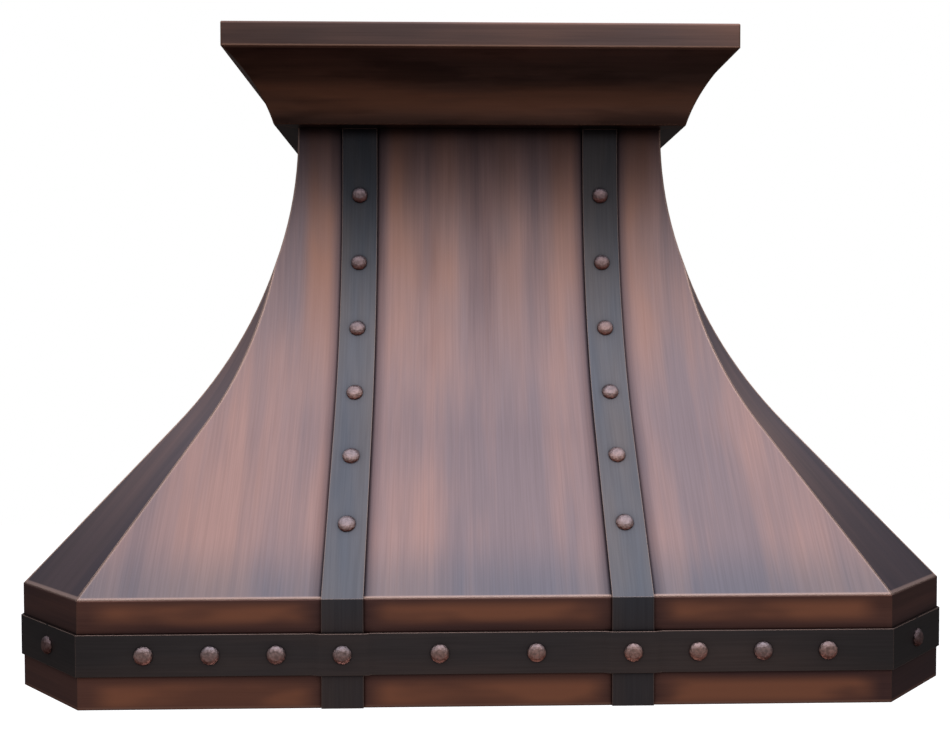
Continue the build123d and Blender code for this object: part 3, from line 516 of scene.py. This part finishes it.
def galvanised(name):
    """Zinc-coated sheet with its spangle."""
    dark_zinc = (0.42, 0.43, 0.45)
    light_zinc = (0.62, 0.63, 0.65)
    paint = Paint(name, Metallic=1.0)
    cells = paint.make("TexVoronoi")
    scaled = paint.make("VectorMath", paint.place(), (90.0, 90.0, 90.0), operation="MULTIPLY")
    paint.feed(cells.inputs["Vector"], scaled.outputs[0])
    cells.inputs["Scale"].default_value = 1.0
    tint = paint.make("SeparateColor", cells.outputs["Color"]).outputs[0]
    colour = paint.ramp(tint, (0.0, dark_zinc), (1.0, light_zinc))
    paint.coat(colour, paint.ease(tint, 0.0, 1.0, 0.34, 0.5))
    return paint.material


def painted(name, tone, rough=0.45):
    """Black enamel on steel, rubbed through a little on the edges."""
    bare_steel = (0.28, 0.28, 0.29)
    paint = Paint(name, Roughness=rough)
    peel = paint.noise((420.0, 420.0, 420.0), detail=2.0)
    dust = paint.noise((8.0, 8.0, 8.0), rough=0.6, seed=4.0)
    lighter = tuple(min(1.0, value * 1.7 + 0.01) for value in tone)
    colour = paint.ramp(dust, (0.35, tone), (0.7, lighter))
    paint.coat(paint.mix(paint.times(paint.worn_edges(0.0015), 0.5), colour, bare_steel))
    paint.bump(peel, strength=0.12, distance=0.0004)
    return paint.material


def dial_marks(paint):
    """1 on a ring of short marks round each knob, and 0 elsewhere."""
    ring_radius = 0.0235
    mark_length = 0.0040
    marks = 12
    across = paint.math("SUBTRACT", paint.away(0), middle("light_knob", 0))
    along = paint.math("SUBTRACT", paint.axis(1), middle("light_knob", 1))
    away = paint.math("SQRT", paint.math("ADD", paint.times(across, across),
                                         paint.times(along, along)))
    turn = paint.math("ARCTAN2", across, along)
    step = paint.math("FRACT", paint.times(turn, marks / math.tau))
    return paint.times(paint.near(away, ring_radius, mark_length / 2, 0.0003),
                       paint.near(step, 0.5, 0.035, 0.012))


def dialled_steel(name, tone):
    """The control panel's face, with marks etched round its knobs."""
    ink = (0.02, 0.02, 0.02)
    paint = Paint(name, Metallic=1.0)
    streak = paint.noise((3.0, 90.0, 90.0), rough=0.6)
    fine = paint.noise((9.0, 620.0, 620.0), detail=2.0, rough=0.6, seed=7.0)
    darker = tuple(value * 0.9 for value in tone)
    colour = paint.ramp(fine, (0.3, darker), (0.7, tone))
    colour = paint.mix(dial_marks(paint), colour, ink)
    paint.coat(colour, paint.ease(streak, 0.3, 0.7, 0.26, 0.38))
    paint.bump(fine, strength=0.06, distance=0.0003, rounding=0.0008)
    return paint.material


def plastic(name, tone, rough, white_below=None):
    """Grained plastic, with the raised pointer under a knob picked out in white."""
    pointer_white = (0.80, 0.80, 0.78)
    paint = Paint(name, Roughness=rough)
    grainy = paint.noise((900.0, 900.0, 900.0), detail=2.0)
    lighter = tuple(value * 1.4 + 0.004 for value in tone)
    colour = paint.ramp(grainy, (0.3, tone), (0.7, lighter))
    if white_below is not None:
        pointer = paint.ease(paint.axis(2), white_below + 0.0002, white_below)
        colour = paint.mix(pointer, colour, pointer_white)
    paint.coat(colour)
    paint.bump(grainy, strength=0.10, distance=0.0002)
    return paint.material


def frosted_glass(name):
    """A lamp's clouded lens."""
    paint = Paint(name, Roughness=0.35, IOR=1.5)
    paint.surface.inputs["Transmission Weight"].default_value = 0.55
    ripple = paint.noise((700.0, 700.0, 700.0), detail=2.0)
    paint.coat(paint.ramp(ripple, (0.3, (0.86, 0.87, 0.85)), (0.7, (0.95, 0.95, 0.93))))
    paint.bump(ripple, strength=0.2, distance=0.0003)
    return paint.material


def dress(material, *nodes):
    """Give CAD nodes a material."""
    for name in nodes:
        mesh = frame["nodes"][name].data
        mesh.materials.clear()
        mesh.materials.append(material)


def dress_walls():
    """The bell's copper: the front, back and sides, and the corner panels between them."""
    wide = {"edge": seam_reach, "wear": 1.0}
    dress(copper("front copper", "up_front", panel_cool, panel_warm, seam_worn, front_shade,
                 wall="front", **wide), "front_panel")
    dress(copper("back copper", "up_front", panel_cool, panel_warm, seam_worn, front_shade,
                 seed=31.0, wall="front", **wide), "back_panel")
    dress(copper("side copper", "up_side", panel_cool, panel_warm, seam_worn, side_shade,
                 seed=17.0, wall="side", **wide), "left_panel", "right_panel")
    dress(copper("corner copper a", "up_front", corner_cool, corner_warm, pale_worn,
                 corner_shade, turn=45.0, seed=5.0, wall="corner"),
          "corner_panel_front_left", "corner_panel_back_right")
    dress(copper("corner copper b", "up_front", corner_cool, corner_warm, pale_worn,
                 corner_shade, turn=-45.0, seed=8.0, wall="corner"),
          "corner_panel_front_right", "corner_panel_back_left")


def dress_trim():
    """The apron, the crown and the straps."""
    dress(copper("apron copper", "level", apron_cool, apron_warm, red_worn, apron_shade,
                 seed=2.0, edge=0.0025, unworn_above=apron_top - 0.002), "apron_band")
    dress(copper("crown copper", "level", crown_cool, crown_warm, red_worn, crown_shade,
                 seed=12.0, edge=0.003, wear=0.6),
          "crown_front", "crown_back", "crown_left", "crown_right")
    dress(strap_metal("strap up front", "up_front", 1.0, strap_cool, strap_warm, "front"),
          "strap_front_left", "strap_front_right", "strap_back_left", "strap_back_right")
    dress(strap_metal("strap up side", "up_side", 4.0, strap_cool, strap_warm, "side"),
          "strap_left", "strap_right")
    dress(strap_metal("base strap", "level", 6.0, base_cool, base_warm),
          "base_strap_front", "base_strap_back", "base_strap_left", "base_strap_right")


def dress_inside():
    """The frame, the ducting, the liner and what hangs in it."""
    dress(painted("frame paint", (0.025, 0.025, 0.028)),
          "ceiling_plate", "lower_frame", "bearer_rail_front", "bearer_rail_back",
          "hanger_post_front_left", "hanger_post_front_right",
          "hanger_post_back_left", "hanger_post_back_right")
    dress(painted("motor paint", (0.012, 0.012, 0.014), rough=0.35), "motor")
    dress(galvanised("galvanised sheet"),
          "duct_collar", "damper_flap_left", "damper_flap_right", "duct_pipe",
          "outlet_adaptor", "blower_scroll", "inlet_ring", "impeller",
          "blower_bracket_left", "blower_bracket_right")
    dress(steel("liner steel", "up_side", (0.60, 0.60, 0.60), rough=0.32),
          "liner_pan", "junction_box", "junction_cover")
    dress(dialled_steel("panel steel", (0.64, 0.64, 0.63)), "control_panel")
    dress(steel("filter steel", "up_front", (0.62, 0.62, 0.61), rough=0.26, seed=9.0),
          "filter_1", "filter_2", "filter_3", "filter_4", "filter_catches")
    dress(steel("bezel steel", "level", (0.66, 0.66, 0.65), rough=0.18, seed=14.0),
          "light_housings")
    dress(steel("screw zinc", "level", (0.58, 0.58, 0.56), rough=0.30, seed=19.0),
          "frame_bolts", "liner_screws", "damper_pin")
    dress(frosted_glass("lens glass"), "light_lenses")
    dress(plastic("module plastic", (0.02, 0.02, 0.022), rough=0.5), "control_module")
    pointer_top = span("light_knob", 2)[0] + 0.0008
    dress(plastic("knob plastic", (0.012, 0.012, 0.013), rough=0.28, white_below=pointer_top),
          "fan_knob", "light_knob")


# ---- pieces ----

def islands(mesh):
    """The faces of each separate solid in a mesh, whose faces may each have their own vertices."""
    same = {}
    shared = [same.setdefault(tuple(round(value, 6) for value in vertex.co), vertex.index)
              for vertex in mesh.vertices]
    parent = list(range(len(mesh.vertices)))

    def root(vertex):
        while parent[vertex] != vertex:
            parent[vertex] = parent[parent[vertex]]
            vertex = parent[vertex]
        return vertex

    for edge in mesh.edges:
        first, second = edge.vertices
        parent[root(shared[first])] = root(shared[second])
    found = {}
    for face in mesh.polygons:
        found.setdefault(root(shared[face.vertices[0]]), []).append(face)
    return list(found.values())


def seat_of(faces):
    """The middle of a rivet's flat underside, and the way its head stands."""
    sides = {}
    for face in faces:
        key = tuple(round(value, 2) for value in face.normal)
        sides.setdefault(key, []).append(face)
    under = max(sides.values(), key=lambda group: sum(face.area for face in group))
    area = sum(face.area for face in under)
    centre = sum((Vector(face.center) * face.area for face in under), Vector()) / area
    return centre, -Vector(under[0].normal)


RIVET_RINGS = ((0.0, 11.9), (1.8, 11.7), (3.5, 10.6), (4.9, 8.7), (5.9, 6.3))   # height, radius
RIVET_TOP = 6.5             # heights and radii of a head are in millimetres
RIVET_SIDES = 11


def rivet_ring(work, chance, number, start, centre, turn):
    """One ring of uneven corners round a head. The lowest ring lies flat on the strap."""
    step_error = 0.08       # of the gap between two corners
    least_reach = 0.97      # of the ring's radius
    lift_error = 0.12       # millimetres
    height, radius = RIVET_RINGS[number]
    ring = []
    for side in range(RIVET_SIDES):
        step = side + number * 0.5 + chance.uniform(-step_error, step_error)
        angle = start + math.tau * step / RIVET_SIDES
        reach = radius * chance.uniform(least_reach, 1.0)
        lift = height + (chance.uniform(-lift_error, lift_error) if number else 0)
        point = Vector((reach * math.cos(angle), reach * math.sin(angle), lift)) / 1000
        ring.append(work.verts.new(centre + turn @ point))
    return ring


def close_head(work, rings, tip):
    """The facets between a head's rings, its flat underside and its top."""
    work.faces.new(rings[0][::-1])
    for lower, upper in zip(rings, rings[1:]):
        for side in range(RIVET_SIDES):
            after = (side + 1) % RIVET_SIDES
            work.faces.new((lower[side], lower[after], upper[side]))
            work.faces.new((lower[after], upper[after], upper[side]))
    for side in range(RIVET_SIDES):
        work.faces.new((rings[-1][side], rings[-1][(side + 1) % RIVET_SIDES], tip))


def hammered_heads():
    """A mesh of every rivet head, knocked into uneven facets where the CAD has it."""
    chance = random.Random(7)
    work = bmesh.new()
    for faces in islands(frame["nodes"]["strap_rivets"].data):
        centre, up = seat_of(faces)
        turn = up.to_track_quat("Z", "Y").to_matrix()
        start = chance.uniform(0, math.tau)
        rings = [rivet_ring(work, chance, number, start, centre, turn)
                 for number in range(len(RIVET_RINGS))]
        tip = work.verts.new(centre + turn @ Vector((0, 0, RIVET_TOP / 1000)))
        close_head(work, rings, tip)
    shape = bpy.data.meshes.new("hammered_rivets")
    work.to_mesh(shape)
    work.free()
    return shape


def hammered_rivets():
    """Uneven domed heads, in place of the CAD's regular ones."""
    shape = hammered_heads()
    shape.materials.append(hammered_copper("rivet copper"))
    piece = bpy.data.objects.new("hammered_rivets", shape)
    bpy.context.scene.collection.objects.link(piece)
    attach(piece, "hood")
    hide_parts("strap_rivets")


# ---- studio ----

# The sky's light by height: 0 is straight down, 0.5 level and 1 straight up.
SKY_IN_FRONT = (
    (0.00, (0.02, 0.02, 0.02)), (0.14, (0.045, 0.04, 0.04)), (0.36, (0.23, 0.21, 0.205)),
    (0.50, (0.07, 0.065, 0.065)), (0.62, (0.10, 0.095, 0.095)), (0.74, (0.37, 0.37, 0.38)),
    (0.86, (0.78, 0.76, 0.78)), (1.00, (0.90, 0.89, 0.94)),
)
SKY_BEHIND = (
    (0.00, (0.02, 0.02, 0.02)), (0.36, (0.06, 0.055, 0.055)), (0.50, (0.04, 0.04, 0.04)),
    (0.62, (0.10, 0.10, 0.10)), (0.74, (0.45, 0.45, 0.46)), (0.86, (0.75, 0.75, 0.77)),
    (1.00, (0.90, 0.89, 0.94)),
)


def sky_ramp(tree, height, stops):
    ramp = tree.nodes.new("ShaderNodeValToRGB")
    tree.links.new(height, ramp.inputs[0])
    fill_ramp(ramp.color_ramp, stops)
    return ramp.outputs[0]


def sky_range(tree, value, start, end):
    """0 where the value is at start, rising to 1 at end."""
    node = tree.nodes.new("ShaderNodeMapRange")
    node.inputs["From Min"].default_value = start
    node.inputs["From Max"].default_value = end
    tree.links.new(value, node.inputs["Value"])
    return node.outputs[0]


def sky_light(tree):
    """Bright overhead, dim below, and dimmer behind the hood than in front of it."""
    split = tree.nodes.new("ShaderNodeSeparateXYZ")
    direction = tree.nodes.new("ShaderNodeTexCoord")
    tree.links.new(direction.outputs["Generated"], split.inputs[0])
    height = sky_range(tree, split.outputs[2], -1.0, 1.0)
    light = tree.nodes.new("ShaderNodeMix")
    light.data_type = "RGBA"
    tree.links.new(sky_range(tree, split.outputs[1], -0.5, 0.4), light.inputs[0])
    tree.links.new(sky_ramp(tree, height, SKY_IN_FRONT), light.inputs[6])
    tree.links.new(sky_ramp(tree, height, SKY_BEHIND), light.inputs[7])
    return light.outputs[2]


def world():
    """White where the camera looks, and the sky's light everywhere else."""
    sky = bpy.data.worlds.new("studio")
    bpy.context.scene.world = sky
    sky.use_nodes = True
    tree = sky.node_tree
    tree.nodes.clear()
    lit = tree.nodes.new("ShaderNodeBackground")
    tree.links.new(sky_light(tree), lit.inputs["Color"])
    white = tree.nodes.new("ShaderNodeBackground")
    white.inputs["Color"].default_value = (1.0, 1.0, 1.0, 1.0)
    rays = tree.nodes.new("ShaderNodeLightPath")
    both = tree.nodes.new("ShaderNodeMixShader")
    tree.links.new(rays.outputs["Is Camera Ray"], both.inputs[0])
    tree.links.new(lit.outputs[0], both.inputs[1])
    tree.links.new(white.outputs[0], both.inputs[2])
    output = tree.nodes.new("ShaderNodeOutputWorld")
    tree.links.new(both.outputs[0], output.inputs[0])


def floor():
    """A plain pale floor, low enough to look up at the hood's underside from above it."""
    room_height = 4.8
    reach = 24.0
    mesh = bpy.data.meshes.new("floor")
    corners = [(-reach, -reach), (reach, -reach), (reach, reach), (-reach, reach)]
    mesh.from_pydata([(x, y, ceiling - room_height) for x, y in corners], [], [(0, 1, 2, 3)])
    plane = bpy.data.objects.new("floor", mesh)
    bpy.context.scene.collection.objects.link(plane)
    paint = Paint("pale floor", Roughness=0.9)
    paint.surface.inputs["Base Color"].default_value = (0.9, 0.9, 0.9, 1.0)
    paint.surface.inputs["Emission Color"].default_value = (1.0, 1.0, 1.0, 1.0)
    paint.surface.inputs["Emission Strength"].default_value = 0.62
    mesh.materials.append(paint.material)
    plane.visible_glossy = False
    plane.visible_diffuse = False


def soft_light(name, place, target, size, power):
    """A rectangular lamp that the camera doesn't see."""
    light = bpy.data.lights.new(name, "AREA")
    light.shape = "RECTANGLE"
    light.size, light.size_y = size
    light.energy = power
    lamp = bpy.data.objects.new(name, light)
    lamp.visible_camera = False
    lamp.location = place
    lamp.rotation_euler = (Vector(target) - Vector(place)).to_track_quat("-Z", "Y").to_euler()
    bpy.context.scene.collection.objects.link(lamp)


def camera():
    """A near normal lens, 1.3 m in front of the apron and 0.3 m above the apron's top."""
    lens = bpy.data.cameras.new("camera")
    lens.sensor_width = 36.0
    lens.lens = 40.85
    lens.clip_start = 0.05
    eye = bpy.data.objects.new("camera", lens)
    left_of_middle = 0.0490
    in_front = 1.3242
    above_bottom = 0.4519
    pan, tilt, roll = -0.0251, -0.0266, 0.0017
    eye.location = (-left_of_middle, -half_depth - in_front, hood_low + above_bottom)
    aim = (Matrix.Rotation(pan, 3, "Z") @ Matrix.Rotation(tilt, 3, "X")
           @ Matrix.Rotation(roll, 3, "Y") @ Matrix.Rotation(math.pi / 2, 3, "X"))
    eye.rotation_euler = aim.to_euler()
    bpy.context.scene.collection.objects.link(eye)
    bpy.context.scene.camera = eye


camera()
dress_walls()
dress_trim()
dress_inside()
hammered_rivets()
world()
floor()
soft_light("overhead", place=(0.4, -1.8, 1.7), target=(0, 0, -0.5), size=(3.0, 2.0), power=6.0)
soft_light("cooktop", place=(0, 0, hood_low - 0.8), target=(0, 0, 0), size=(1.2, 0.86), power=4.5)
bpy.context.scene.view_settings.view_transform = "Standard"
